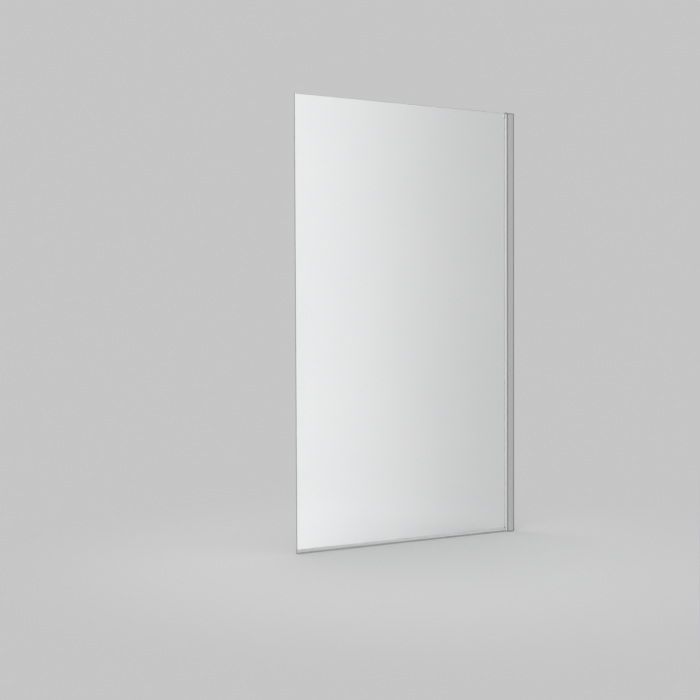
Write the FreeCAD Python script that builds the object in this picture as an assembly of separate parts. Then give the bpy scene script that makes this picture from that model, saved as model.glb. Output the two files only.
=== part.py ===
"""A frameless single-panel bath screen that swings on a full-height pivot profile at the wall.

Frame, in millimetres: the wall is the plane x = 0 and the glass reaches out along -X, the screen's
thickness is along Y with the bath on the +Y side, and +Z is up.  The origin is the centre of the
profile's wall face.  A "reach" is a distance out from the wall, so it is -x.
"""

import FreeCAD
import Part
import os

# Overall size
screen_width = 800.0        # wall to the free edge of the glass
screen_height = 1400.0      # rim of the bath to the top edge of the glass

# Glass
glass_thickness = 6.0
glass_arris = 0.5           # chamfer ground along every edge of the glass

# Swing axis and the tube that turns about it
pivot_reach = 26.0          # wall to the swing axis
tube_radius = 5.6
tube_back_wall = 1.8        # tube wall left behind the glass slot
bed_thickness = 0.5         # gasket between the glass and the tube's slot
swing_gap = 0.4             # room kept round everything that swings

# Soft strip that beds the wall channel on the wall
strip_thickness = 2.5
strip_inset = 0.5           # how far its long edges stand back from the channel's faces

# Wall channel
channel_thickness = 20.0
channel_wall = 1.6
channel_web = 2.0           # the face that lies on the strip
channel_edge_radius = 0.7
wall_hole_radius = 2.75
wall_hole_pitch = 400.0
wall_hole_count = 4

# Pivot jamb that slides in the channel, and its wipers
jamb_wall = 1.5
jamb_setting = 2.5          # adjustment left between the jamb and the channel's web
slide_gap = 0.25
wiper_length = 1.2          # how far a wiper stands out of the jamb

# End brackets
bracket_thickness = 3.0
bracket_wall_gap = 0.5
tongue_length = 20.0
tongue_gap = 0.2

# Pivot pins, bushes and washer
pin_radius = 2.0
running_gap = 0.05          # radial clearance of a pin in its bush
press_gap = 0.01            # radial clearance drawn for a part pressed into another
bush_wall = 1.5
flange_radius = 5.2
flange_thickness = 0.8
washer_thickness = 0.5
pin_depth = 10.0            # length of pin inside a tube plug
pin_tip_gap = 0.3
pivot_head_radius = 3.9
pivot_head_height = 2.8
pivot_head_edge = 0.6
pivot_head_play = 0.1
hex_width = 2.5
hex_depth = 1.6

# Plugs in the ends of the tube, and the grub screws that hold them
plug_length = 12.0
plug_gap = 0.05
grub_radius = 1.5
grub_length = 3.1
grub_inset = 0.3

# Countersunk screws that hold the brackets in the jamb
bracket_screw_radius = 1.5
bracket_screw_length = 6.0
bracket_screw_head_radius = 2.8
screw_gap = 0.02

# Side screws that lock the jamb in the channel, and their covers
side_screw_radius = 1.9
side_screw_length = 5.0
side_screw_head_radius = 3.4
side_screw_head_height = 1.8
side_screw_pitch = 500.0
side_screw_count = 3
cover_radius = 5.0
cover_height = 3.4
cover_wall = 0.9
cover_edge_radius = 0.8

# Bottom seal: a stiff clip on the glass and two soft fins under it
seal_height = 13.0          # rim to the top of the clip
fin_height = 4.5
clip_wall = 1.1
clip_base = 1.5
clip_edge = 0.4
fin_root = 1.8
fin_tip = 0.7

# What follows from those sizes
top = screen_height / 2
rim = -screen_height / 2
profile_end = top - bracket_thickness
tube_end = profile_end - flange_thickness - washer_thickness
plug_end = tube_end - plug_length
half_glass = glass_thickness / 2
half_slot = half_glass + bed_thickness
half_seal = half_glass + clip_wall
half_channel = channel_thickness / 2
half_channel_inside = half_channel - channel_wall
half_jamb = half_channel_inside - slide_gap
half_jamb_inside = half_jamb - jamb_wall
channel_front = pivot_reach - half_seal - swing_gap
channel_web_front = strip_thickness + channel_web
slot_floor = pivot_reach - tube_radius + tube_back_wall
glass_start = slot_floor + bed_thickness
clear_radius = tube_radius + swing_gap
clear_reach = pivot_reach + clear_radius
jamb_front = pivot_reach - clear_radius
jamb_back = channel_web_front + jamb_setting
jamb_web_back = jamb_front - jamb_wall
bush_radius = pin_radius + running_gap + bush_wall
glass_bottom = rim + fin_height + clip_base
tongue_reach = (jamb_back + jamb_web_back) / 2
fixing_level = profile_end - tongue_length / 2
plug_level = tube_end - plug_length / 2

X_AXIS = FreeCAD.Vector(1, 0, 0)
Y_AXIS = FreeCAD.Vector(0, 1, 0)
Z_AXIS = FreeCAD.Vector(0, 0, 1)


def block(reach, side, height):
    """A box between two reaches, two places across the screen and two heights."""
    corner = FreeCAD.Vector(-reach[1], side[0], height[0])
    return Part.makeBox(reach[1] - reach[0], side[1] - side[0], height[1] - height[0], corner)


def post(radius, height):
    """A round bar on the swing axis, between two heights."""
    foot = FreeCAD.Vector(-pivot_reach, 0, height[0])
    return Part.makeCylinder(radius, height[1] - height[0], foot, Z_AXIS)


def cross_bar(radius, reach, side, level):
    """A round bar across the screen, along Y."""
    start = FreeCAD.Vector(-reach, side[0], level)
    return Part.makeCylinder(radius, side[1] - side[0], start, Y_AXIS)


def out_bar(radius, reach, level):
    """A round bar square to the wall, between two reaches."""
    start = FreeCAD.Vector(-reach[1], 0, level)
    return Part.makeCylinder(radius, reach[1] - reach[0], start, X_AXIS)


def drawn_along_screen(points, reach):
    """A section given as (y, z) points, drawn out between two reaches."""
    corners = [FreeCAD.Vector(-reach[1], y, z) for y, z in points]
    section = Part.Face(Part.makePolygon(corners + corners[:1]))
    return section.extrude(X_AXIS * (reach[1] - reach[0]))


def flipped(shape):
    """The same piece at the other end of the screen, mirrored top to bottom."""
    return shape.mirror(FreeCAD.Vector(0, 0, 0), Z_AXIS)


def turned_over(shape):
    """The same piece on the other face of the screen, mirrored front to back."""
    return shape.mirror(FreeCAD.Vector(0, 0, 0), Y_AXIS)


def levels(count, pitch):
    """Heights of equally spaced holes, centred on the middle of the screen."""
    return [(index - (count - 1) / 2) * pitch for index in range(count)]


def upright_edges(shape, reach, side):
    """The vertical edges of a shape that stand at one reach, on either face."""
    found = []
    for edge in shape.Edges:
        box = edge.BoundBox
        upright = box.ZLength > max(box.XLength, box.YLength)
        at_reach = abs(box.Center.x + reach) < 1e-4
        at_side = abs(abs(box.Center.y) - side) < 1e-4
        if upright and at_reach and at_side:
            found.append(edge)
    return found


def bedding_strip():
    """Soft strip between the wall and the channel, with a hole for each wall screw."""
    span = (-profile_end, profile_end)
    side = (strip_inset - half_channel, half_channel - strip_inset)
    shape = block((0, strip_thickness), side, span)
    for level in levels(wall_hole_count, wall_hole_pitch):
        shape = shape.cut(out_bar(wall_hole_radius, (0, strip_thickness), level))
    return shape


def wall_channel():
    """Extruded U that is screwed to the wall, open towards the glass."""
    span = (-profile_end, profile_end)
    shape = block((strip_thickness, channel_front), (-half_channel, half_channel), span)
    shape = shape.makeFillet(channel_edge_radius, upright_edges(shape, channel_front, half_channel))
    inside = (-half_channel_inside, half_channel_inside)
    shape = shape.cut(block((channel_web_front, channel_front), inside, span))
    for level in levels(wall_hole_count, wall_hole_pitch):
        shape = shape.cut(out_bar(wall_hole_radius, (strip_thickness, channel_web_front), level))
    for level in levels(side_screw_count, side_screw_pitch):
        hole = (half_channel_inside, half_channel)
        shape = shape.cut(cross_bar(side_screw_radius + screw_gap, tongue_reach, hole, level))
    return shape


def pivot_jamb():
    """Inner extrusion, a U open towards the wall, that slides in the channel to suit the wall."""
    span = (-profile_end, profile_end)
    shape = block((jamb_back, jamb_front), (-half_jamb, half_jamb), span)
    hollow = (-half_jamb_inside, half_jamb_inside)
    shape = shape.cut(block((jamb_back, jamb_web_back), hollow, span))
    for screw in bracket_screw_places(screw_gap):
        shape = shape.cut(screw)
    for level in levels(side_screw_count, side_screw_pitch):
        hole = (half_jamb_inside, half_jamb)
        shape = shape.cut(cross_bar(side_screw_radius + screw_gap, tongue_reach, hole, level))
    return shape


def bath_side_wiper():
    """Soft strip in the corner between the jamb and the channel, hollowed to the tube."""
    span = (-profile_end, profile_end)
    strip = block((jamb_front, jamb_front + wiper_length), (0, half_jamb), span)
    return strip.cut(post(clear_radius, span))


def top_bracket():
    """Plate that closes the top of the profiles, holds the bush and plugs into the jamb."""
    plate_height = (profile_end, top)
    over_channel = (bracket_wall_gap, channel_front)
    plate = block(over_channel, (-half_channel, half_channel), plate_height)
    plate = plate.fuse(block((channel_front, pivot_reach), (-tube_radius, tube_radius), plate_height))
    plate = plate.fuse(post(tube_radius, plate_height))
    tongue = block(
        (jamb_back, jamb_web_back - tongue_gap),
        (tongue_gap - half_jamb_inside, half_jamb_inside - tongue_gap),
        (profile_end - tongue_length, profile_end),
    )
    shape = plate.fuse(tongue).removeSplitter()
    shape = shape.cut(post(bush_radius + press_gap, plate_height))
    for screw in bracket_screw_places(screw_gap):
        shape = shape.cut(screw)
    return shape


def top_bush():
    """Flanged plastic bush in the bracket, with the flange towards the tube."""
    shape = post(bush_radius, (profile_end, top))
    shape = shape.fuse(post(flange_radius, (profile_end - flange_thickness, profile_end)))
    return shape.cut(post(pin_radius + running_gap, (profile_end - flange_thickness, top)))


def countersunk_screw(gap):
    """Screw across the jamb on the bath side, with its head flush in the jamb's face."""
    head_rim = FreeCAD.Vector(-tongue_reach, half_jamb, fixing_level)
    head_depth = min(bracket_screw_head_radius - bracket_screw_radius, jamb_wall)
    head = Part.makeCone(
        bracket_screw_head_radius + gap, bracket_screw_radius + gap, head_depth, head_rim, -Y_AXIS
    )
    shank_side = (half_jamb - bracket_screw_length, half_jamb - head_depth)
    return head.fuse(cross_bar(bracket_screw_radius + gap, tongue_reach, shank_side, fixing_level))


def bracket_screw_places(gap):
    """The four bracket screws, or their holes with a gap round them."""
    upper = [countersunk_screw(gap), turned_over(countersunk_screw(gap))]
    return upper + [flipped(screw) for screw in upper]


def bracket_screws():
    """Two countersunk screws through the jamb into each bracket's tongue."""
    return Part.makeCompound(bracket_screw_places(0))


def side_screws():
    """Pan-head screws through the channel into the jamb, on the bath side."""
    screws = []
    shank = (half_channel - side_screw_length, half_channel)
    head = (half_channel, half_channel + side_screw_head_height)
    for level in levels(side_screw_count, side_screw_pitch):
        screw = cross_bar(side_screw_radius, tongue_reach, shank, level)
        screws.append(screw.fuse(cross_bar(side_screw_head_radius, tongue_reach, head, level)))
    return Part.makeCompound(screws)


def screw_covers():
    """Snap-on caps over the heads of the side screws."""
    covers = []
    outside = (half_channel, half_channel + cover_height)
    inside = (half_channel, half_channel + cover_height - cover_wall)
    for level in levels(side_screw_count, side_screw_pitch):
        cover = cross_bar(cover_radius, tongue_reach, outside, level)
        crown = [edge for edge in cover.Edges if abs(edge.BoundBox.YMin - outside[1]) < 1e-4]
        cover = cover.makeFillet(cover_edge_radius, crown)
        covers.append(cover.cut(cross_bar(cover_radius - cover_wall, tongue_reach, inside, level)))
    return Part.makeCompound(covers)


def hinge_tube():
    """Round extrusion, slotted for the glass, that turns about the swing axis."""
    span = (-tube_end, tube_end)
    slot = block((slot_floor, clear_reach), (-half_slot, half_slot), span)
    shape = post(tube_radius, span).cut(slot)
    for screw in grub_screw_places(screw_gap):
        shape = shape.cut(screw)
    return shape


def top_tube_plug():
    """Metal plug in the slot at the top of the tube, bored for the pivot screw."""
    height = (plug_end, tube_end)
    half_plug = half_slot - plug_gap
    shape = block((slot_floor, clear_reach), (-half_plug, half_plug), height)
    shape = shape.common(post(tube_radius, height))
    shape = shape.cut(post(pin_radius + press_gap, (tube_end - pin_depth, tube_end)))
    for screw in grub_screw_places(screw_gap):
        shape = shape.cut(screw)
    return shape


def grub_screw_places(gap):
    """The two grub screws behind the tube, or their holes with a gap round them."""
    start = pivot_reach - tube_radius + grub_inset
    upper = out_bar(grub_radius + gap, (start, start + grub_length), plug_level)
    if gap:
        upper = out_bar(grub_radius + gap, (start - grub_inset, start + grub_length), plug_level)
    return [upper, flipped(upper)]


def grub_screws():
    """Grub screws through the back of the tube that hold its two plugs."""
    return Part.makeCompound(grub_screw_places(0))


def top_pivot_screw():
    """Shouldered screw through the top bush into the tube plug, with a low head and hex socket."""
    head_height = (top + pivot_head_play, top + pivot_head_play + pivot_head_height)
    head = post(pivot_head_radius, head_height)
    crown = [edge for edge in head.Edges if abs(edge.BoundBox.ZMin - head_height[1]) < 1e-4]
    head = head.makeFillet(pivot_head_edge, crown)
    shape = head.fuse(post(pin_radius, (tube_end - pin_depth, head_height[0])))
    corner = hex_width / 3 ** 0.5
    turns = [FreeCAD.Rotation(Z_AXIS, 60 * step) for step in range(7)]
    centre = FreeCAD.Vector(-pivot_reach, 0, head_height[1] - hex_depth)
    outline = Part.makePolygon([centre + turn.multVec(X_AXIS * corner) for turn in turns])
    return shape.cut(Part.Face(outline).extrude(Z_AXIS * hex_depth))


def bottom_pivot_pin():
    """Plain pin pressed into the bottom plug, standing in the bottom bush."""
    return post(pin_radius, (rim + pin_tip_gap, pin_depth - tube_end))


def thrust_washer():
    """Washer that carries the weight of the panel on the flange of the bottom bush."""
    height = (-tube_end - washer_thickness, -tube_end)
    return post(flange_radius, height).cut(post(pin_radius + running_gap, height))


def glass_panel():
    """Toughened glass with ground edges, its two hidden corners notched round the tube plugs."""
    sheet = block((glass_start, screen_width), (-half_glass, half_glass), (glass_bottom, top))
    notch = (glass_start, clear_reach)
    thickness = (-half_glass, half_glass)
    sheet = sheet.cut(block(notch, thickness, (plug_end, top)))
    sheet = sheet.cut(block(notch, thickness, (glass_bottom, -plug_end)))
    rims = [edge for edge in sheet.Edges if edge.BoundBox.YLength < glass_arris]
    return sheet.makeChamfer(glass_arris, rims)


def glazing_gasket():
    """Thin U gasket that beds the glass in the tube's slot, its lips showing past the jaws."""
    span = (-plug_end, plug_end)
    shape = block((slot_floor, clear_reach), (-half_slot, half_slot), span)
    return shape.cut(block((glass_start, clear_reach), (-half_glass, half_glass), span))


def seal_clip():
    """Stiff clip of the bottom seal, pushed onto the lower edge of the glass."""
    base = rim + fin_height
    crest = rim + seal_height
    points = [
        (-half_seal, base),
        (half_seal, base),
        (half_seal, crest - clip_edge),
        (half_seal - clip_edge, crest),
        (half_glass, crest),
        (half_glass, glass_bottom),
        (-half_glass, glass_bottom),
        (-half_glass, crest),
        (clip_edge - half_seal, crest),
        (-half_seal, crest - clip_edge),
    ]
    return drawn_along_screen(points, (clear_reach + swing_gap, screen_width))


def seal_fins():
    """Two soft fins under the clip that wipe along the rim of the bath."""
    root = rim + fin_height
    points = [
        (half_seal - fin_root, root),
        (half_seal, root),
        (half_seal, rim + fin_tip),
        (half_seal - fin_tip, rim),
        (half_seal - 2 * fin_tip, rim),
        (half_seal - fin_root, rim + fin_height / 2),
    ]
    fin = drawn_along_screen(points, (clear_reach + swing_gap, screen_width))
    return Part.makeCompound([fin, turned_over(fin)])


nodes = {
    "bedding_strip": bedding_strip(),
    "wall_channel": wall_channel(),
    "pivot_jamb": pivot_jamb(),
    "bath_side_wiper": bath_side_wiper(),
    "room_side_wiper": turned_over(bath_side_wiper()),
    "top_bracket": top_bracket(),
    "bottom_bracket": flipped(top_bracket()),
    "top_bush": top_bush(),
    "bottom_bush": flipped(top_bush()),
    "thrust_washer": thrust_washer(),
    "bracket_screws": bracket_screws(),
    "side_screws": side_screws(),
    "screw_covers": screw_covers(),
    "hinge_tube": hinge_tube(),
    "top_tube_plug": top_tube_plug(),
    "bottom_tube_plug": flipped(top_tube_plug()),
    "grub_screws": grub_screws(),
    "top_pivot_screw": top_pivot_screw(),
    "bottom_pivot_pin": bottom_pivot_pin(),
    "glass_panel": glass_panel(),
    "glazing_gasket": glazing_gasket(),
    "seal_clip": seal_clip(),
    "seal_fins": seal_fins(),
}

os.makedirs("parts", exist_ok=True)
for name, shape in nodes.items():
    shape.exportStep("parts/" + name + ".step")
    print(name, shape.isValid(), len(shape.Solids), round(shape.Volume, 1))
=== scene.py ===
"""Looks of a frameless bath screen: clear glass that swings on a satin aluminium pivot profile.

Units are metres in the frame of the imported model: the wall is the plane x = 0, the glass reaches
out along -X, the bath is on the +Y side and +Z is up.
"""

from __future__ import annotations

import logging
import math
from dataclasses import dataclass
from enum import Enum

import bmesh
import bpy
from mathutils import Matrix, Vector


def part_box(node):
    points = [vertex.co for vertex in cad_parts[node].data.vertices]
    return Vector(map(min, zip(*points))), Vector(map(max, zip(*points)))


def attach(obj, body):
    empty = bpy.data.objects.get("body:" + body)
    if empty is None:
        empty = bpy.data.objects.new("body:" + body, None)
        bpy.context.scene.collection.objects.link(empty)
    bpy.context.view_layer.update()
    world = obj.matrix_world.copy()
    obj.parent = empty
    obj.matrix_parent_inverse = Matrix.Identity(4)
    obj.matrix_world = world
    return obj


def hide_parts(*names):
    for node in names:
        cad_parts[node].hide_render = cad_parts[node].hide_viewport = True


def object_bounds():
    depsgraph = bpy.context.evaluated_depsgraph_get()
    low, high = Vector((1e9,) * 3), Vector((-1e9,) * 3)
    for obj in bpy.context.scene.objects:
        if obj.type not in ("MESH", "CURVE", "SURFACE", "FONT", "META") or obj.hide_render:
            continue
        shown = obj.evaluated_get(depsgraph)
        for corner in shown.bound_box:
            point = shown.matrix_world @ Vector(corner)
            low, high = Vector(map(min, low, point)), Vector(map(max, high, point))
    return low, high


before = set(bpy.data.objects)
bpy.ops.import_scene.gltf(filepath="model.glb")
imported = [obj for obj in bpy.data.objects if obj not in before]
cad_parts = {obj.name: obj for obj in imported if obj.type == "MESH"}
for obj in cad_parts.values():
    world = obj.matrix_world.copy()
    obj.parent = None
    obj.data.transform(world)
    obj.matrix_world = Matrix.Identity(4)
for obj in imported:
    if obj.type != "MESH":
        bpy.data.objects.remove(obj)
CAD_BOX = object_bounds()
LOG = logging.getLogger("bath_screen")

Colour = tuple[float, float, float]
Point = tuple[float, float, float]
Span = tuple[float, float]
Corner = tuple[float, float]

# Lengths: a millimetre, points that are merged, and points that count as level.
MM = 0.001
TOUCHING = 0.001 * MM
LEVEL_WITH = 0.01 * MM
# Squeeze of drawn lines that run up the profile, or along the seal.
ALONG_UP = (1.0, 1.0, 0.002)
ALONG_GLASS = (0.002, 1.0, 1.0)
# Values of a noise texture between which its effect goes from none to full.
NOISE_SPAN = (0.3, 0.7)
# Scale of the slow bands beside the drawn lines, and of the clouds under a speckle.
BAND_COARSENESS = 0.2
CLOUD_SCALE = 60.0
# Eased edges: samples of the rounding, and cosines between which an edge shows wear.
EASING_SAMPLES = 6
WORN_COSINES = (0.8, 0.99)
PLASTIC_IOR = 1.5
# Profile of a bevel that follows a circle.
CIRCULAR = 0.5
# Cosines that no direction reaches, for a glow that doesn't fall again.
NO_FALL = (1.0, 1.1)


class Body(Enum):
    """The two bodies that the pivot joins."""

    WALL = "wall_profile"
    PANEL = "panel"


class Face(Enum):
    """The two faces of the screen, as the sign of Y."""

    ROOM = -1
    BATH = 1


class ShaderBench:
    """Places and joins the nodes of one shader tree."""

    def __init__(self, tree: bpy.types.NodeTree) -> None:
        """Keeps the tree that the nodes go into.

        Args:
            tree: A material's, world's or group's node tree.
        """
        self.tree = tree

    def add(self, kind: str, **settings: object) -> bpy.types.Node:
        """Adds a node.

        Args:
            kind: The node's type, such as "ShaderNodeMath".
            settings: Properties of the node, by name.

        Returns:
            The new node.
        """
        node = self.tree.nodes.new(kind)
        for name, value in settings.items():
            setattr(node, name, value)
        return node

    def join(self, source: bpy.types.NodeSocket, target: bpy.types.NodeSocket) -> None:
        """Links an output to an input."""
        self.tree.links.new(source, target)

    def math(self, operation: str, first: object, second: object) -> bpy.types.NodeSocket:
        """Adds a Math node whose inputs are sockets or plain numbers.

        Args:
            operation: The Math node's operation.
            first: The first input.
            second: The second input.

        Returns:
            The node's output socket.
        """
        node = self.add("ShaderNodeMath", operation=operation)
        for index, value in enumerate((first, second)):
            self._feed(value, node.inputs[index])
        return node.outputs[0]

    def blend(self, factor: object, first: object, second: object) -> bpy.types.NodeSocket:
        """Adds a colour mix whose inputs are sockets, numbers or colours.

        Args:
            factor: How much of the second colour shows.
            first: The first colour.
            second: The second colour.

        Returns:
            The mixed colour's socket.
        """
        node = self.add("ShaderNodeMix", data_type="RGBA")
        self._feed(factor, node.inputs["Factor"])
        self._feed(first, node.inputs[6])
        self._feed(second, node.inputs[7])
        return node.outputs[2]

    def ramp(self, value: object, span: Span, out: Span) -> bpy.types.NodeSocket:
        """Adds a smooth, clamped step from one number to another.

        Args:
            value: The socket that the step follows.
            span: Where the step begins and ends.
            out: What it gives at each end.

        Returns:
            The result's socket.
        """
        node = self.add("ShaderNodeMapRange", interpolation_type="SMOOTHSTEP")
        self._feed(value, node.inputs["Value"])
        for name, number in zip(("From Min", "From Max", "To Min", "To Max"), (*span, *out)):
            node.inputs[name].default_value = number
        return node.outputs["Result"]

    def noise(
        self, place: bpy.types.NodeSocket, scale: object, detail: float = 2.0
    ) -> bpy.types.NodeSocket:
        """Adds a noise texture.

        Args:
            place: Where it is read.
            scale: Its patches in a metre, as a socket or a number.
            detail: How many finer layers it has.

        Returns:
            The socket of its value.
        """
        node = self.add("ShaderNodeTexNoise")
        node.inputs["Detail"].default_value = detail
        self._feed(scale, node.inputs["Scale"])
        self.join(place, node.inputs["Vector"])
        return node.outputs["Fac"]

    def mix_shaders(
        self, factor: object, first: bpy.types.Node, second: bpy.types.Node
    ) -> bpy.types.Node:
        """Adds a mix of two shaders.

        Args:
            factor: How much of the second shader shows.
            first: The first shader.
            second: The second shader.

        Returns:
            The mix.
        """
        mix = self.add("ShaderNodeMixShader")
        self._feed(factor, mix.inputs["Fac"])
        self.join(first.outputs[0], mix.inputs[1])
        self.join(second.outputs[0], mix.inputs[2])
        return mix

    def show(self, shader: bpy.types.Node) -> None:
        """Puts a shader on the material's surface."""
        self.join(shader.outputs[0], self.tree.nodes["Material Output"].inputs["Surface"])

    def _feed(self, value: object, socket: bpy.types.NodeSocket) -> None:
        """Links a socket, or sets a number or colour.

        Args:
            value: The socket, number or colour.
            socket: The input that takes it.
        """
        if isinstance(value, bpy.types.NodeSocket):
            self.join(value, socket)
        elif isinstance(value, tuple):
            socket.default_value = (*value, 1.0) if len(value) == 3 else value
        else:
            socket.default_value = value


def new_group(
    name: str, inputs: dict[str, tuple[str, object]], outputs: dict[str, str]
) -> ShaderBench:
    """Makes an empty shader node group with named sockets.

    Args:
        name: The group's name.
        inputs: For each input, its socket type and its default value.
        outputs: For each output, its socket type.

    Returns:
        A bench for the group's tree.
    """
    tree = bpy.data.node_groups.new(name, "ShaderNodeTree")
    for title, (kind, value) in inputs.items():
        socket = tree.interface.new_socket(title, in_out="INPUT", socket_type=kind)
        socket.default_value = value
    for title, kind in outputs.items():
        tree.interface.new_socket(title, in_out="OUTPUT", socket_type=kind)
    return ShaderBench(tree)


def drawn_lines_group() -> bpy.types.NodeTree:
    """Fine die lines along an extrusion, with a slower change of tone from line to line.

    Returns:
        A group with the inputs Stretch and Fineness, and the outputs Tone and Height.
    """
    bench = new_group(
        "drawn_lines",
        {"Stretch": ("NodeSocketVector", ALONG_UP), "Fineness": ("NodeSocketFloat", 1500.0)},
        {"Tone": "NodeSocketFloat", "Height": "NodeSocketFloat"},
    )
    entry = bench.add("NodeGroupInput")
    place = bench.add("ShaderNodeTexCoord")
    squeeze = bench.add("ShaderNodeVectorMath", operation="MULTIPLY")
    bench.join(place.outputs["Object"], squeeze.inputs[0])
    bench.join(entry.outputs["Stretch"], squeeze.inputs[1])
    lines = bench.noise(squeeze.outputs[0], entry.outputs["Fineness"], detail=4.0)
    coarse = bench.math("MULTIPLY", entry.outputs["Fineness"], BAND_COARSENESS)
    bands = bench.noise(squeeze.outputs[0], coarse)
    leave = bench.add("NodeGroupOutput")
    bench.join(bench.ramp(bands, NOISE_SPAN, (0.0, 1.0)), leave.inputs["Tone"])
    bench.join(lines, leave.inputs["Height"])
    return bench.tree


def speckle_group() -> bpy.types.NodeTree:
    """Fine, even grain of a cast, moulded or tumbled surface, with a slow clouding of its tone.

    Returns:
        A group with the inputs Grain and Cloud, and the outputs Tone and Height.
    """
    bench = new_group(
        "speckle",
        {"Grain": ("NodeSocketFloat", 2500.0), "Cloud": ("NodeSocketFloat", CLOUD_SCALE)},
        {"Tone": "NodeSocketFloat", "Height": "NodeSocketFloat"},
    )
    entry = bench.add("NodeGroupInput")
    place = bench.add("ShaderNodeTexCoord")
    grain = bench.noise(place.outputs["Object"], entry.outputs["Grain"])
    cloud = bench.noise(place.outputs["Object"], entry.outputs["Cloud"], detail=3.0)
    leave = bench.add("NodeGroupOutput")
    bench.join(bench.ramp(cloud, NOISE_SPAN, (0.0, 1.0)), leave.inputs["Tone"])
    bench.join(grain, leave.inputs["Height"])
    return bench.tree


def eased_edge_group() -> bpy.types.NodeTree:
    """Rounds sharp edges in the shading and finds where handling has worn them.

    Returns:
        A group with the input Radius, and the outputs Normal and Wear.
    """
    bench = new_group(
        "eased_edge",
        {"Radius": ("NodeSocketFloat", 0.3 * MM)},
        {"Normal": "NodeSocketVector", "Wear": "NodeSocketFloat"},
    )
    entry = bench.add("NodeGroupInput")
    soft = bench.add("ShaderNodeBevel", samples=EASING_SAMPLES)
    bench.join(entry.outputs["Radius"], soft.inputs["Radius"])
    flat = bench.add("ShaderNodeNewGeometry")
    turn = bench.add("ShaderNodeVectorMath", operation="DOT_PRODUCT")
    bench.join(soft.outputs["Normal"], turn.inputs[0])
    bench.join(flat.outputs["Normal"], turn.inputs[1])
    leave = bench.add("NodeGroupOutput")
    bench.join(soft.outputs["Normal"], leave.inputs["Normal"])
    bench.join(bench.ramp(turn.outputs["Value"], WORN_COSINES, (1.0, 0.0)), leave.inputs["Wear"])
    return bench.tree


@dataclass(frozen=True)
class Workshop:
    """The node groups that the finishes share.

    Attributes:
        drawn_lines: Die lines of an extrusion.
        speckle: Grain of a cast, moulded or tumbled surface.
        eased_edge: Rounding and wear of the edges.
    """

    drawn_lines: bpy.types.NodeTree
    speckle: bpy.types.NodeTree
    eased_edge: bpy.types.NodeTree

    @classmethod
    def opened(cls) -> Workshop:
        """Builds each group once."""
        return cls(drawn_lines_group(), speckle_group(), eased_edge_group())


def blank_material(name: str) -> tuple[bpy.types.Material, ShaderBench, bpy.types.Node]:
    """Makes a material that holds one Principled shader.

    Args:
        name: The material's name.

    Returns:
        The material, a bench for its tree, and the shader.
    """
    material = bpy.data.materials.new(name)
    material.use_nodes = True
    bench = ShaderBench(material.node_tree)
    return material, bench, material.node_tree.nodes["Principled BSDF"]


@dataclass(frozen=True)
class Grain:
    """The fine relief of a surface.

    Attributes:
        stretch: Squeeze of drawn lines along each axis, or None for a speckled surface.
        fineness: Lines or grains in a metre.
        depth: Depth of the lines or grains.
        roughness: Lowest and highest roughness.
    """

    stretch: Point | None
    fineness: float
    depth: float
    roughness: Span

    def place(
        self, bench: ShaderBench, shader: bpy.types.Node, workshop: Workshop
    ) -> bpy.types.Node:
        """Places the relief's group and gives the shader its roughness.

        Args:
            bench: The material's bench.
            shader: The material's shader.
            workshop: The shared node groups.

        Returns:
            The group's node.
        """
        grain = bench.add("ShaderNodeGroup")
        if self.stretch is None:
            grain.node_tree = workshop.speckle
            grain.inputs["Grain"].default_value = self.fineness
        else:
            grain.node_tree = workshop.drawn_lines
            grain.inputs["Stretch"].default_value = self.stretch
            grain.inputs["Fineness"].default_value = self.fineness
        rough = bench.ramp(grain.outputs["Height"], NOISE_SPAN, self.roughness)
        bench.join(rough, shader.inputs["Roughness"])
        return grain

    def raise_up(
        self, bench: ShaderBench, shader: bpy.types.Node, grain: bpy.types.Node
    ) -> bpy.types.Node:
        """Raises the relief as a bump on the shader.

        Args:
            bench: The material's bench.
            shader: The material's shader.
            grain: The relief's group.

        Returns:
            The bump's node.
        """
        bump = bench.add("ShaderNodeBump")
        bump.inputs["Distance"].default_value = self.depth
        bench.join(grain.outputs["Height"], bump.inputs["Height"])
        bench.join(bump.outputs["Normal"], shader.inputs["Normal"])
        return bump


@dataclass(frozen=True)
class Metal:
    """A metal with a drawn or a cast surface.

    Attributes:
        name: The material's name.
        bright: Colour of its light stretches.
        dull: Colour of its dark stretches.
        grain: Its fine relief.
        edge: Radius to which sharp edges are eased.
        worn: Colour of the worn edges.
    """

    name: str
    bright: Colour
    dull: Colour
    grain: Grain
    edge: float
    worn: Colour

    def material(self, workshop: Workshop) -> bpy.types.Material:
        """Builds the metal's material.

        Args:
            workshop: The shared node groups.

        Returns:
            The material.
        """
        material, bench, shader = blank_material(self.name)
        shader.inputs["Metallic"].default_value = 1.0
        grain = self.grain.place(bench, shader, workshop)
        edge = bench.add("ShaderNodeGroup", node_tree=workshop.eased_edge)
        edge.inputs["Radius"].default_value = self.edge
        tone = bench.blend(grain.outputs["Tone"], self.bright, self.dull)
        colour = bench.blend(edge.outputs["Wear"], tone, self.worn)
        bench.join(colour, shader.inputs["Base Color"])
        bump = self.grain.raise_up(bench, shader, grain)
        bench.join(edge.outputs["Normal"], bump.inputs["Normal"])
        return material


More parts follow.
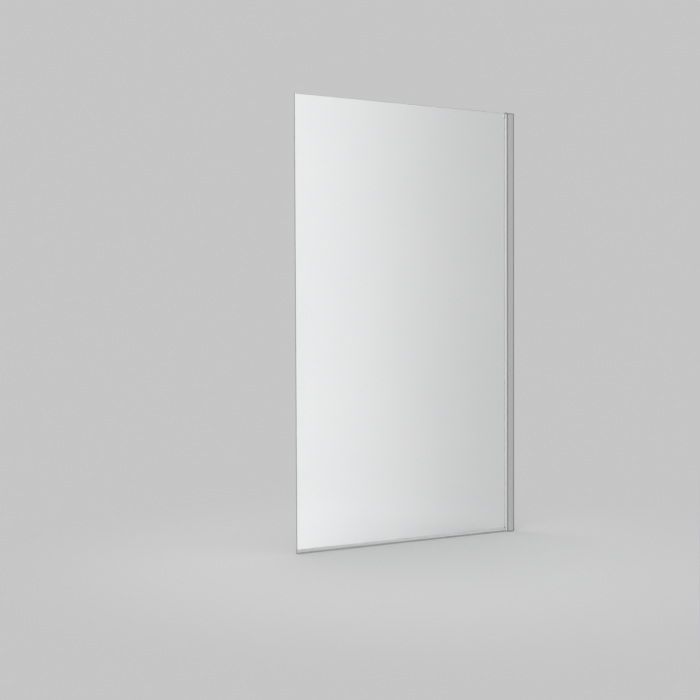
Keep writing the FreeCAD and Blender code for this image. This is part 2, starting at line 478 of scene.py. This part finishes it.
@dataclass(frozen=True)
class Moulding:
    """A moulded or extruded plastic or rubber.

    Attributes:
        name: The material's name.
        light: Colour of its light stretches.
        dark: Colour of its dark stretches.
        grain: Its fine relief.
        clearness: Share of light that passes through it.
    """

    name: str
    light: Colour
    dark: Colour
    grain: Grain
    clearness: float = 0.0

    def material(self, workshop: Workshop) -> bpy.types.Material:
        """Builds the plastic's material.

        Args:
            workshop: The shared node groups.

        Returns:
            The material.
        """
        material, bench, shader = blank_material(self.name)
        shader.inputs["Transmission Weight"].default_value = self.clearness
        shader.inputs["IOR"].default_value = PLASTIC_IOR
        grain = self.grain.place(bench, shader, workshop)
        tone = bench.blend(grain.outputs["Tone"], self.light, self.dark)
        bench.join(tone, shader.inputs["Base Color"])
        self.grain.raise_up(bench, shader, grain)
        return material


@dataclass(frozen=True)
class FloatGlass:
    """Clear toughened glass with polished faces and ground edges.

    Attributes:
        name: The material's name.
        face: Tint of the wiped faces.
        film: Tint where a faint dry film is left on them.
        film_scale: Patches of film in a metre.
        film_span: Noise values between which the film sets in.
        edge: Tint of the ground edges, where the light has come a long way through the glass.
        edge_roughness: Lowest and highest roughness of the ground edges.
        edge_cosines: Slopes to the faces between which an edge counts as ground.
        abrasion: Grinding marks in a metre.
        ior: Refractive index of the glass.
        coat_ior: Refractive index of the easy-clean coating.
        lamp_tint: Colour of lamp light that has come through.
    """

    name: str = "clear_glass"
    face: Colour = (0.99, 0.996, 0.994)
    film: Colour = (0.972, 0.98, 0.978)
    film_scale: float = 3.0
    film_span: Span = (0.35, 0.7)
    edge: Colour = (0.33, 0.43, 0.41)
    edge_roughness: Span = (0.45, 0.65)
    edge_cosines: Span = (0.6, 0.95)
    abrasion: float = 900.0
    ior: float = 1.52
    coat_ior: float = 1.8
    lamp_tint: Colour = (0.9, 0.93, 0.92)

    def material(self) -> bpy.types.Material:
        """Builds the glass, with lamp light passed straight through for clean shadows.

        Returns:
            The material.
        """
        material, bench, shader = blank_material(self.name)
        shader.inputs["Transmission Weight"].default_value = 1.0
        shader.inputs["IOR"].default_value = self.ior
        shader.inputs["Coat Weight"].default_value = 1.0
        shader.inputs["Coat Roughness"].default_value = 0.0
        shader.inputs["Coat IOR"].default_value = self.coat_ior
        place = bench.add("ShaderNodeTexCoord")
        parts = bench.add("ShaderNodeSeparateXYZ")
        bench.join(place.outputs["Normal"], parts.inputs[0])
        across = bench.math("ABSOLUTE", parts.outputs["Y"], 0.0)
        ground = bench.ramp(across, self.edge_cosines, (1.0, 0.0))
        cloud = bench.noise(place.outputs["Object"], self.film_scale, detail=5.0)
        dry = bench.ramp(cloud, self.film_span, (0.0, 1.0))
        pane = bench.blend(dry, self.face, self.film)
        bench.join(bench.blend(ground, pane, self.edge), shader.inputs["Base Color"])
        marks = bench.noise(place.outputs["Object"], self.abrasion)
        rough = bench.ramp(marks, NOISE_SPAN, self.edge_roughness)
        bench.join(bench.math("MULTIPLY", rough, ground), shader.inputs["Roughness"])
        path = bench.add("ShaderNodeLightPath")
        clear = bench.add("ShaderNodeBsdfTransparent")
        clear.inputs["Color"].default_value = (*self.lamp_tint, 1.0)
        bench.show(bench.mix_shaders(path.outputs["Is Shadow Ray"], shader, clear))
        return material


SATIN_ALUMINIUM = Metal(
    name="satin_aluminium",
    bright=(0.7, 0.7, 0.698),
    dull=(0.62, 0.62, 0.622),
    grain=Grain(stretch=ALONG_UP, fineness=1800.0, depth=0.02 * MM, roughness=(0.26, 0.36)),
    edge=0.25 * MM,
    worn=(0.86, 0.86, 0.86),
)
CAST_ZINC = Metal(
    name="cast_zinc",
    bright=(0.36, 0.36, 0.37),
    dull=(0.29, 0.29, 0.3),
    grain=Grain(stretch=None, fineness=2600.0, depth=0.03 * MM, roughness=(0.34, 0.48)),
    edge=0.35 * MM,
    worn=(0.6, 0.6, 0.6),
)
STAINLESS_STEEL = Metal(
    name="stainless_steel",
    bright=(0.66, 0.65, 0.63),
    dull=(0.56, 0.55, 0.54),
    grain=Grain(stretch=None, fineness=4000.0, depth=0.01 * MM, roughness=(0.18, 0.3)),
    edge=0.15 * MM,
    worn=(0.8, 0.79, 0.77),
)
BLACKENED_STEEL = Metal(
    name="blackened_steel",
    bright=(0.3, 0.3, 0.31),
    dull=(0.22, 0.22, 0.23),
    grain=Grain(stretch=None, fineness=4000.0, depth=0.01 * MM, roughness=(0.26, 0.4)),
    edge=0.2 * MM,
    worn=(0.5, 0.5, 0.5),
)
FROSTED_VINYL = Moulding(
    name="frosted_vinyl",
    light=(0.97, 0.975, 0.975),
    dark=(0.9, 0.91, 0.91),
    grain=Grain(stretch=ALONG_GLASS, fineness=1400.0, depth=0.03 * MM, roughness=(0.22, 0.36)),
    clearness=0.42,
)
SOFT_VINYL = Moulding(
    name="soft_vinyl",
    light=(0.42, 0.42, 0.42),
    dark=(0.34, 0.34, 0.34),
    grain=Grain(stretch=ALONG_GLASS, fineness=1200.0, depth=0.03 * MM, roughness=(0.42, 0.58)),
)
GREY_RUBBER = Moulding(
    name="grey_rubber",
    light=(0.56, 0.56, 0.56),
    dark=(0.48, 0.48, 0.48),
    grain=Grain(stretch=ALONG_UP, fineness=1500.0, depth=0.03 * MM, roughness=(0.5, 0.65)),
)
GLAZING_VINYL = Moulding(
    name="glazing_vinyl",
    light=(0.82, 0.825, 0.825),
    dark=(0.74, 0.745, 0.745),
    grain=Grain(stretch=ALONG_UP, fineness=1500.0, depth=0.02 * MM, roughness=(0.3, 0.45)),
    clearness=0.15,
)
# Foam bedding strip behind the channel. Its near-black colour is partly painted shadow: it stands
# in for the contact shadow along the joint of profile and wall.
FOAM_WITH_PAINTED_WALL_SHADOW = Moulding(
    name="dark_foam",
    light=(0.07, 0.07, 0.07),
    dark=(0.04, 0.04, 0.04),
    grain=Grain(stretch=None, fineness=1400.0, depth=0.12 * MM, roughness=(0.75, 0.95)),
)
GREY_PLASTIC = Moulding(
    name="grey_plastic",
    light=(0.6, 0.6, 0.6),
    dark=(0.54, 0.54, 0.54),
    grain=Grain(stretch=None, fineness=3200.0, depth=0.02 * MM, roughness=(0.3, 0.42)),
)
WHITE_ACETAL = Moulding(
    name="white_acetal",
    light=(0.82, 0.82, 0.8),
    dark=(0.76, 0.76, 0.73),
    grain=Grain(stretch=None, fineness=3000.0, depth=0.015 * MM, roughness=(0.35, 0.5)),
)


def dress(node: str, material: bpy.types.Material) -> None:
    """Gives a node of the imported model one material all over.

    Args:
        node: The node's name.
        material: The material.
    """
    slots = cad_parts[node].data.materials
    if not slots:
        slots.append(material)
    for index in range(len(slots)):
        slots[index] = material
    LOG.info("%s is dressed in %s", node, material.name)


def finished_piece(
    name: str, mesh: bmesh.types.BMesh, material: bpy.types.Material
) -> bpy.types.Object:
    """Turns a finished bmesh into an object at the origin.

    Args:
        name: The piece's name.
        mesh: Its bmesh, which is freed.
        material: Its material.

    Returns:
        The object.
    """
    bmesh.ops.recalc_face_normals(mesh, faces=mesh.faces[:])
    data = bpy.data.meshes.new(name)
    mesh.to_mesh(data)
    mesh.free()
    data.materials.append(material)
    piece = bpy.data.objects.new(name, data)
    bpy.context.scene.collection.objects.link(piece)
    LOG.info("%s is modelled with %d faces", name, len(data.polygons))
    return piece


def drawn_out(section: list[Corner], start: float, end: float) -> bmesh.types.BMesh:
    """Draws a section out along X into a closed bar.

    Args:
        section: The section's (y, z) corners in order.
        start: Where the bar begins.
        end: Where it ends.

    Returns:
        The bar's bmesh.
    """
    mesh = bmesh.new()
    corners = [mesh.verts.new((start, y, z)) for y, z in section]
    cap = mesh.faces.new(corners)
    grown = bmesh.ops.extrude_face_region(mesh, geom=[cap], use_keep_orig=True)
    moved = [item for item in grown["geom"] if isinstance(item, bmesh.types.BMVert)]
    bmesh.ops.translate(mesh, verts=moved, vec=(end - start, 0.0, 0.0))
    return mesh


def round_edges(
    mesh: bmesh.types.BMesh, edges: list[bmesh.types.BMEdge], radius: float, facets: int
) -> None:
    """Rounds some edges of a bar.

    Args:
        mesh: The bar's bmesh.
        edges: The edges.
        radius: Their radius.
        facets: Facets across each rounding.
    """
    bmesh.ops.bevel(
        mesh,
        geom=edges,
        offset=radius,
        segments=facets,
        profile=CIRCULAR,
        affect="EDGES",
        material=-1,
    )


def is_long(edge: bmesh.types.BMEdge) -> bool:
    """Whether an edge runs along X."""
    first, second = (vert.co for vert in edge.verts)
    return abs(first.x - second.x) > abs(first.y - second.y) + abs(first.z - second.z)


def outermost(edge: bmesh.types.BMEdge, half: float) -> bool:
    """Whether an edge lies on the outer faces of a bar of this half thickness."""
    return all(abs(abs(vert.co.y) - half) < LEVEL_WITH for vert in edge.verts)


@dataclass
class PivotProfile:
    """The channel on the wall, the jamb and wipers in it, and the tube that turns in it."""

    def dress(self, workshop: Workshop) -> None:
        """Gives each piece its finish.

        Args:
            workshop: The shared node groups.
        """
        aluminium = SATIN_ALUMINIUM.material(workshop)
        for node in ("wall_channel", "pivot_jamb", "hinge_tube"):
            dress(node, aluminium)
        rubber = GREY_RUBBER.material(workshop)
        for node in ("bath_side_wiper", "room_side_wiper"):
            dress(node, rubber)
        # The bedding strip's near-black finish is partly painted shadow along the wall joint.
        dress("bedding_strip", FOAM_WITH_PAINTED_WALL_SHADOW.material(workshop))


@dataclass
class PivotHardware:
    """The end brackets with their bushes, pins, plugs and screws."""

    def dress(self, workshop: Workshop) -> None:
        """Gives each piece its finish.

        Args:
            workshop: The shared node groups.
        """
        zinc = CAST_ZINC.material(workshop)
        for node in ("top_bracket", "bottom_bracket", "top_tube_plug", "bottom_tube_plug"):
            dress(node, zinc)
        steel = STAINLESS_STEEL.material(workshop)
        for node in (
            "thrust_washer",
            "bracket_screws",
            "side_screws",
            "grub_screws",
            "bottom_pivot_pin",
        ):
            dress(node, steel)
        dress("top_pivot_screw", BLACKENED_STEEL.material(workshop))
        acetal = WHITE_ACETAL.material(workshop)
        for node in ("top_bush", "bottom_bush"):
            dress(node, acetal)


@dataclass
class ScrewCovers:
    """The caps over the side screws, each domed, ringed and notched to be prised off.

    Attributes:
        wall: Thickness of a cap.
        edge_round: Radius of the crown's outer edge.
        dome: Rise of the crown from its edge to its middle.
        ring_place: Radius of the ring pressed into the crown, as a share of the cap's.
        ring_depth: Depth of that ring.
        ring_spread: Half its width, as a multiple of its depth.
        middle_place: Radius of the crown's nearly level middle, as a share of the ring's.
        middle_fall: Fall of the crown there, as a share of its rise.
        notch_height: Height of the notch in the skirt.
        notch_line: Height of the line above the notch, as a multiple of the notch's.
        notch_turn: Half the notch's width round the cap, in degrees.
        steps: Facets round a cap.
        round_steps: Facets on the crown's outer edge.
        sharp_turn: Turn between facets that stays a sharp edge, in degrees.
        count: Caps up the profile.
    """

    wall: float = 0.9 * MM
    edge_round: float = 0.8 * MM
    dome: float = 0.3 * MM
    ring_place: float = 0.66
    ring_depth: float = 0.14 * MM
    ring_spread: float = 2.0
    middle_place: float = 0.5
    middle_fall: float = 0.15
    notch_height: float = 0.9 * MM
    notch_line: float = 1.2
    notch_turn: float = 17.0
    steps: int = 48
    round_steps: int = 5
    sharp_turn: float = 35.0
    count: int = 3

    def build(self, workshop: Workshop) -> None:
        """Models the caps in one piece's mesh, and puts them in the place of their node.

        Args:
            workshop: The shared node groups.
        """
        low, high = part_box("screw_covers")
        radius = (high.x - low.x) / 2
        mesh = bmesh.new()
        for index in range(self.count):
            share = index / (self.count - 1)
            level = low.z + radius + share * (high.z - low.z - 2 * radius)
            middle = Vector((low.x + radius, low.y, level))
            self._cap(mesh, middle, radius, high.y - low.y)
        caps = finished_piece("screw_cover_caps", mesh, GREY_PLASTIC.material(workshop))
        for face in caps.data.polygons:
            face.use_smooth = True
        caps.data.set_sharp_from_angle(angle=math.radians(self.sharp_turn))
        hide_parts("screw_covers")
        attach(caps, Body.WALL.value)

    def _section(self, radius: float, height: float) -> list[Corner]:
        """Draws half of a cap's section, from the middle of its crown round to its ceiling.

        Args:
            radius: The cap's radius.
            height: Its height.

        Returns:
            The section's (radius, height) points.
        """
        edge = height - self.dome
        ring = self.ring_place * radius
        half_ring = self.ring_spread * self.ring_depth
        shoulder = edge + self.dome * (1 - self.ring_place)
        points = [
            (0.0, height),
            (ring * self.middle_place, height - self.dome * self.middle_fall),
            (ring - half_ring, shoulder),
            (ring, shoulder - self.ring_depth),
            (ring + half_ring, shoulder),
        ]
        for step in range(self.round_steps + 1):
            turn = math.pi / 2 * step / self.round_steps
            points.append(
                (
                    radius - self.edge_round * (1 - math.sin(turn)),
                    edge - self.edge_round * (1 - math.cos(turn)),
                )
            )
        inside = radius - self.wall
        ceiling = edge - self.wall
        line = self.notch_height * self.notch_line
        return points + [
            (radius, line),
            (radius, 0.0),
            (inside, 0.0),
            (inside, line),
            (inside, ceiling),
            (0.0, ceiling),
        ]

    def _cap(self, mesh: bmesh.types.BMesh, middle: Vector, radius: float, height: float) -> None:
        """Spins one cap about the axis of its screw and cuts its notch.

        Args:
            mesh: The bmesh that the cap goes into.
            middle: Centre of the cap's foot.
            radius: The cap's radius.
            height: Its height.
        """
        before = set(mesh.verts)
        points = [
            mesh.verts.new(middle + Vector((0.0, rise, -reach)))
            for reach, rise in self._section(radius, height)
        ]
        line = [mesh.edges.new(pair) for pair in zip(points, points[1:])]
        bmesh.ops.spin(
            mesh,
            geom=points + line,
            cent=middle,
            axis=(0.0, 1.0, 0.0),
            dvec=(0.0, 0.0, 0.0),
            angle=math.tau,
            steps=self.steps,
            use_merge=True,
        )
        cap = [vert for vert in mesh.verts if vert not in before]
        bmesh.ops.remove_doubles(mesh, verts=cap, dist=TOUCHING)
        for vert in mesh.verts:
            if vert in before or vert.co.y > middle.y + LEVEL_WITH:
                continue
            turn = math.degrees(math.atan2(abs(vert.co.x - middle.x), middle.z - vert.co.z))
            if turn < self.notch_turn:
                vert.co.y += self.notch_height


@dataclass
class GlazingGasket:
    """The clear U strip that beds the glass in the tube's slot.

    Attributes:
        bath_trim: How much shorter the bath side's lip is than the room side's.
        air: Gap between the strip and the faces of the glass.
        lip_round: Radius of the lips' ends.
        lip_facets: Facets across that rounding.
    """

    bath_trim: float = 1.7 * MM
    air: float = 0.03 * MM
    lip_round: float = 0.12 * MM
    lip_facets: int = 2

    def build(self, workshop: Workshop) -> None:
        """Models the strip upright in the slot, and puts it in the place of its node.

        Args:
            workshop: The shared node groups.
        """
        low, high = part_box("glazing_gasket")
        glass_low, glass_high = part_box("glass_panel")
        room_reach, bath_reach = -low.x, -low.x - self.bath_trim
        slot_reach, glass_reach = -high.x, -glass_high.x - self.air
        room_side, bath_side = glass_low.y - self.air, glass_high.y + self.air
        section = [
            (low.y, slot_reach),
            (low.y, room_reach),
            (room_side, room_reach),
            (room_side, glass_reach),
            (bath_side, glass_reach),
            (bath_side, bath_reach),
            (high.y, bath_reach),
            (high.y, slot_reach),
        ]
        mesh = drawn_out(section, low.z, high.z)
        lips = bath_reach - self.air
        long_edges = [edge for edge in mesh.edges if is_long(edge)]
        lip_edges = [edge for edge in long_edges if edge.verts[0].co.z > lips]
        round_edges(mesh, lip_edges, self.lip_round, self.lip_facets)
        upright = Matrix.Rotation(-math.pi / 2, 3, "Y")
        bmesh.ops.rotate(mesh, verts=mesh.verts[:], cent=(0.0, 0.0, 0.0), matrix=upright)
        strip = finished_piece("glazing_gasket_strip", mesh, GLAZING_VINYL.material(workshop))
        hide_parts("glazing_gasket")
        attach(strip, Body.PANEL.value)


@dataclass
class BottomSeal:
    """The clip pushed onto the lower edge of the glass, and the two soft fins under it.

    Attributes:
        jaw_gap: Room between the clip's jaws and the faces of the glass.
        lead_in: Size of the sloped mouth of the clip.
        edge_round: Radius of the clip's long outer edges.
        edge_facets: Facets across that rounding.
        fin_thickness: Thickness of a fin where it bends.
        fin_splay: How far the tips stand out from the roots.
        fin_wave: How far the tips wander sideways along the seal.
        wave_count: Waves along the seal.
        swell_count: Times that the waves swell and fade along the seal.
        cuts: Places along the seal where a fin can bend.
    """

    jaw_gap: float = 0.06 * MM
    lead_in: float = 0.45 * MM
    edge_round: float = 0.22 * MM
    edge_facets: int = 3
    fin_thickness: float = 0.9 * MM
    fin_splay: float = 0.7 * MM
    fin_wave: float = 0.12 * MM
    wave_count: float = 7.0
    swell_count: float = 3.0
    cuts: int = 60

    def build(self, workshop: Workshop) -> None:
        """Models the clip and the fins, and puts them in the place of their nodes.

        Args:
            workshop: The shared node groups.
        """
        clip = finished_piece("seal_clip_extrusion", self._clip(), FROSTED_VINYL.material(workshop))
        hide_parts("seal_clip")
        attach(clip, Body.PANEL.value)
        soft = SOFT_VINYL.material(workshop)
        fins = self._fin(Face.ROOM)
        self._merge(fins, self._fin(Face.BATH))
        lips = finished_piece("seal_fin_lips", fins, soft)
        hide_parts("seal_fins")
        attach(lips, Body.PANEL.value)

    def _clip(self) -> bmesh.types.BMesh:
        """Models the clip as one extruded section with its long edges rounded.

        Returns:
            The clip's bmesh.
        """
        low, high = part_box("seal_clip")
        glass_low, glass_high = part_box("glass_panel")
        groove = glass_high.y + self.jaw_gap
        floor = glass_low.z - self.jaw_gap
        half = [
            (high.y, low.z),
            (high.y, high.z - self.lead_in),
            (high.y - self.lead_in, high.z),
            (groove + self.lead_in / 2, high.z),
            (groove, high.z - self.lead_in),
            (groove, floor),
        ]
        section = half + [(-y, z) for y, z in reversed(half)]
        mesh = drawn_out(section, low.x, high.x)
        long_edges = [edge for edge in mesh.edges if is_long(edge) and outermost(edge, high.y)]
        round_edges(mesh, long_edges, self.edge_round, self.edge_facets)
        return mesh

    def _fin(self, face: Face) -> bmesh.types.BMesh:
        """Models one fin, thinned and splayed towards its tip, with a faint wave along it.

        Args:
            face: The face of the screen that the fin is under.

        Returns:
            The fin's bmesh.
        """
        low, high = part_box("seal_fins")
        outer = high.y - self.fin_wave
        inner = outer - self.fin_thickness
        bend = (low.z + high.z) / 2
        sign = face.value
        section = [
            (sign * (outer - self.fin_splay), high.z),
            (sign * outer, bend),
            (sign * outer, low.z + self.fin_thickness / 2),
            (sign * (outer - self.fin_thickness / 2), low.z),
            (sign * inner, low.z + self.fin_thickness / 2),
            (sign * inner, bend),
            (sign * (inner - self.fin_splay - self.fin_thickness / 2), high.z),
        ]
        mesh = drawn_out(section, low.x, high.x)
        long_edges = [edge for edge in mesh.edges if is_long(edge)]
        bmesh.ops.subdivide_edges(mesh, edges=long_edges, cuts=self.cuts, use_grid_fill=False)
        height = high.z - low.z
        for vert in mesh.verts:
            along = (vert.co.x - low.x) / (high.x - low.x)
            hang = (high.z - vert.co.z) / height
            wave = math.sin(along * self.wave_count * math.tau + sign)
            swell = math.cos(along * math.tau * self.swell_count)
            vert.co.y += self.fin_wave * (wave * swell) * hang
        return mesh

    @staticmethod
    def _merge(mesh: bmesh.types.BMesh, other: bmesh.types.BMesh) -> None:
        """Adds one bmesh to another.

        Args:
            mesh: The bmesh that grows.
            other: The bmesh that is added to it and freed.
        """
        data = bpy.data.meshes.new("joined")
        other.to_mesh(data)
        other.free()
        mesh.from_mesh(data)
        bpy.data.meshes.remove(data)


@dataclass(frozen=True)
class SoftGlow:
    """A soft change of brightness across the studio air, as mirrors and metal see it.

    Attributes:
        aim: Direction towards which it brightens.
        span: Cosines to that direction at which it begins and is full.
        polished: Brightness that it adds in polished surfaces, such as clear glass.
        satin: Brightness that it adds in satin surfaces.
        fall: Cosines between which polished surfaces lose most of it again.
        room_only: Whether polished surfaces show it towards the room alone.
    """

    aim: Point
    span: Span
    polished: float
    satin: float
    fall: Span = NO_FALL
    room_only: bool = False


@dataclass(frozen=True)
class Lamp:
    """A square soft lamp aimed at the middle of the screen, unseen in the glass.

    Attributes:
        name: Its name.
        place: Where it hangs.
        size: Its side.
        power: Its power in watts.
    """

    name: str
    place: Point
    size: float
    power: float

    def hang(self) -> None:
        """Hangs the lamp in the scene."""
        light = bpy.data.lights.new(self.name, "AREA")
        light.shape = "SQUARE"
        light.size = self.size
        light.energy = self.power
        lamp = bpy.data.objects.new(self.name, light)
        lamp.location = self.place
        middle = (CAD_BOX[0] + CAD_BOX[1]) / 2
        lamp.rotation_euler = (middle - lamp.location).to_track_quat("-Z", "Y").to_euler()
        lamp.visible_glossy = False
        lamp.visible_transmission = False
        bpy.context.scene.collection.objects.link(lamp)


@dataclass
class Studio:
    """The floor, lamps, background and camera round the screen.

    Attributes:
        backdrop: Colour of the background that the camera and glass see.
        floor_tone: Colour of the floor.
        daylight: Strength of the even light from all round.
        polished_base: Brightness of the air in polished surfaces, away from the glows.
        afterglow: Share of a glow that polished surfaces keep beyond its fall.
        glow_height: Steepness, as a sine, between which polished surfaces lose the glows.
        room_side: Y of a direction between which the room's own glow ends.
        glows: The soft glows in the air.
        lamps: The lamps round the screen.
        floor_reach: Distance from the middle of the floor to its sides.
        floor_drop: Gap between the screen's foot and the floor.
        floor_roughness: Roughness of the floor.
        floor_sheen: Specular level of the floor.
        floor_centre: Middle of the lit floor.
        floor_fade: Distances from there between which the floor fades into the background.
        focal_pixels: The camera's focal length in pixels of a 700 pixel frame.
        frame_pixels: Width of that frame.
        eye: The camera's place.
        yaw: Its turn to the right of +Y, in degrees.
        pitch: Its tilt up, in degrees.
        roll: Its roll, in degrees.
    """

    backdrop: Colour = (0.56, 0.56, 0.565)
    floor_tone: Colour = (0.64, 0.64, 0.645)
    daylight: float = 0.62
    polished_base: float = 0.58
    afterglow: float = 0.3
    glow_height: Span = (0.3, 0.75)
    room_side: Span = (-0.5, 0.0)
    glows: tuple[SoftGlow, ...] = (
        SoftGlow(
            aim=(-0.809, -0.5878, 0.0),
            span=(0.0, 0.2164),
            polished=1.22,
            satin=0.3,
            fall=(0.27, 0.7),
            room_only=True,
        ),
        SoftGlow(aim=(0.0, 1.0, 0.0), span=(0.4, 1.0), polished=0.4, satin=0.25),
        SoftGlow(aim=(-1.0, 0.0, 0.0), span=(0.0, 0.6), polished=0.0, satin=0.25),
    )
    lamps: tuple[Lamp, ...] = (
        Lamp("key_lamp", place=(-2.6, -2.2, 2.4), size=2.2, power=52.0),
        Lamp("fill_lamp", place=(1.8, -2.4, 1.6), size=2.0, power=20.0),
        Lamp("back_lamp", place=(-1.2, 2.8, 2.0), size=2.0, power=24.0),
    )
    floor_reach: float = 3.0
    floor_drop: float = 0.2 * MM
    floor_roughness: float = 0.7
    floor_sheen: float = 0.2
    floor_centre: tuple[float, float] = (-0.45, -0.1)
    floor_fade: Span = (0.45, 1.3)
    focal_pixels: float = 1122.0
    frame_pixels: float = 700.0
    eye: Point = (-2.214, -3.106, 0.015)
    yaw: float = 27.25
    pitch: float = -1.55
    roll: float = -0.25

    def build(self) -> None:
        """Sets up the whole studio."""
        self._air()
        self._floor()
        for lamp in self.lamps:
            lamp.hang()
        self._camera()
        bpy.context.scene.view_settings.view_transform = "Standard"

    def _air(self) -> None:
        """Lights matt surfaces evenly, and shows the camera, glass and metal a pale background."""
        world = bpy.data.worlds.new("studio_air")
        bpy.context.scene.world = world
        world.use_nodes = True
        bench = ShaderBench(world.node_tree)
        background = world.node_tree.nodes["Background"]
        path = bench.add("ShaderNodeLightPath")
        mirrored = bench.math("MINIMUM", path.outputs["Glossy Depth"], 1.0)
        polished = bench.math("MULTIPLY", mirrored, path.outputs["Is Singular Ray"])
        satin = bench.math("SUBTRACT", mirrored, polished)
        seen = bench.math("MAXIMUM", path.outputs["Is Camera Ray"], path.outputs["Is Glossy Ray"])
        seen = bench.math("MAXIMUM", seen, path.outputs["Is Transmission Ray"])
        colour = bench.blend(seen, (self.daylight,) * 3, self.backdrop)
        bench.join(colour, background.inputs["Color"])
        satin_glow, polished_glow = self._glow_sums(bench)
        strength = bench.math("ADD", 1.0, bench.math("MULTIPLY", satin, satin_glow))
        strength = bench.math("ADD", strength, bench.math("MULTIPLY", polished, polished_glow))
        bench.join(strength, background.inputs["Strength"])

    def _glow_sums(
        self, bench: ShaderBench
    ) -> tuple[bpy.types.NodeSocket, bpy.types.NodeSocket]:
        """Adds up the glows in the direction that a ray leaves in.

        Args:
            bench: The world's bench.

        Returns:
            What they add in satin and in polished surfaces, as multiples of the backdrop.
        """
        place = bench.add("ShaderNodeTexCoord")
        towards = bench.add("ShaderNodeSeparateXYZ")
        bench.join(place.outputs["Generated"], towards.inputs[0])
        steepness = bench.math("ABSOLUTE", towards.outputs["Z"], 0.0)
        level = bench.ramp(steepness, self.glow_height, (1.0, 0.0))
        roomward = bench.ramp(towards.outputs["Y"], self.room_side, (1.0, 0.0))
        grey = self.backdrop[0]
        satin_glow, polished_glow = 0.0, self.polished_base / grey - 1.0
        for glow in self.glows:
            facing = bench.add("ShaderNodeVectorMath", operation="DOT_PRODUCT")
            bench.join(place.outputs["Generated"], facing.inputs[0])
            facing.inputs[1].default_value = glow.aim
            share = bench.ramp(facing.outputs["Value"], glow.span, (0.0, 1.0))
            in_satin = bench.math("MULTIPLY", share, glow.satin / grey)
            before_and_after = (glow.polished, glow.polished * self.afterglow)
            kept = bench.ramp(facing.outputs["Value"], glow.fall, before_and_after)
            kept = bench.math("MULTIPLY", kept, level)
            if glow.room_only:
                kept = bench.math("MULTIPLY", kept, roomward)
            in_polish = bench.math("MULTIPLY", share, bench.math("DIVIDE", kept, grey))
            satin_glow = bench.math("ADD", satin_glow, in_satin)
            polished_glow = bench.math("ADD", polished_glow, in_polish)
        return satin_glow, polished_glow

    def _floor(self) -> None:
        """Lays a pale floor under the screen that fades into the background."""
        mesh = bmesh.new()
        bmesh.ops.create_grid(mesh, x_segments=1, y_segments=1, size=self.floor_reach)
        middle = (*self.floor_centre, CAD_BOX[0].z - self.floor_drop)
        bmesh.ops.translate(mesh, verts=mesh.verts[:], vec=middle)
        material, bench, shader = blank_material("pale_floor")
        shader.inputs["Base Color"].default_value = (*self.floor_tone, 1.0)
        shader.inputs["Roughness"].default_value = self.floor_roughness
        shader.inputs["Specular IOR Level"].default_value = self.floor_sheen
        beyond = bench.add("ShaderNodeEmission")
        beyond.inputs["Color"].default_value = (*self.backdrop, 1.0)
        place = bench.add("ShaderNodeTexCoord")
        reach = bench.add("ShaderNodeVectorMath", operation="DISTANCE")
        reach.inputs[1].default_value = middle
        bench.join(place.outputs["Object"], reach.inputs[0])
        fade = bench.ramp(reach.outputs["Value"], self.floor_fade, (0.0, 1.0))
        lit_or_beyond = bench.mix_shaders(fade, shader, beyond)
        path = bench.add("ShaderNodeLightPath")
        mirrored = bench.math("MINIMUM", path.outputs["Glossy Depth"], 1.0)
        nothing = bench.add("ShaderNodeBsdfTransparent")
        bench.show(bench.mix_shaders(mirrored, lit_or_beyond, nothing))
        floor = finished_piece("floor", mesh, material)
        floor.visible_glossy = False

    def _camera(self) -> None:
        """Stands the camera where the photographer's was."""
        data = bpy.data.cameras.new("camera")
        data.lens = self.focal_pixels / self.frame_pixels * data.sensor_width
        yaw, pitch, roll = (math.radians(angle) for angle in (self.yaw, self.pitch, self.roll))
        ahead = Vector((math.sin(yaw), math.cos(yaw), 0.0))
        forward = math.cos(pitch) * ahead + Vector((0.0, 0.0, math.sin(pitch)))
        level = Vector((math.cos(yaw), -math.sin(yaw), 0.0))
        upright = level.cross(forward)
        right = math.cos(roll) * level + math.sin(roll) * upright
        up = math.cos(roll) * upright - math.sin(roll) * level
        camera = bpy.data.objects.new("camera", data)
        turn = Matrix((right, up, -forward)).transposed().to_4x4()
        camera.matrix_world = Matrix.Translation(self.eye) @ turn
        bpy.context.scene.collection.objects.link(camera)
        bpy.context.scene.camera = camera


@dataclass
class GlassSheet:
    """The swinging sheet of glass.

    Attributes:
        glass: Its finish.
    """

    glass: FloatGlass = FloatGlass()

    def dress(self) -> None:
        """Gives the sheet its glass."""
        dress("glass_panel", self.glass.material())


def main() -> None:
    """Dresses the screen, models its caps, gasket and seal, and sets up the studio."""
    logging.basicConfig(level=logging.INFO, format="%(message)s")
    workshop = Workshop.opened()
    PivotProfile().dress(workshop)
    PivotHardware().dress(workshop)
    ScrewCovers().build(workshop)
    GlassSheet().dress()
    GlazingGasket().build(workshop)
    BottomSeal().build(workshop)
    Studio().build()


if __name__ == "__main__":
    main()
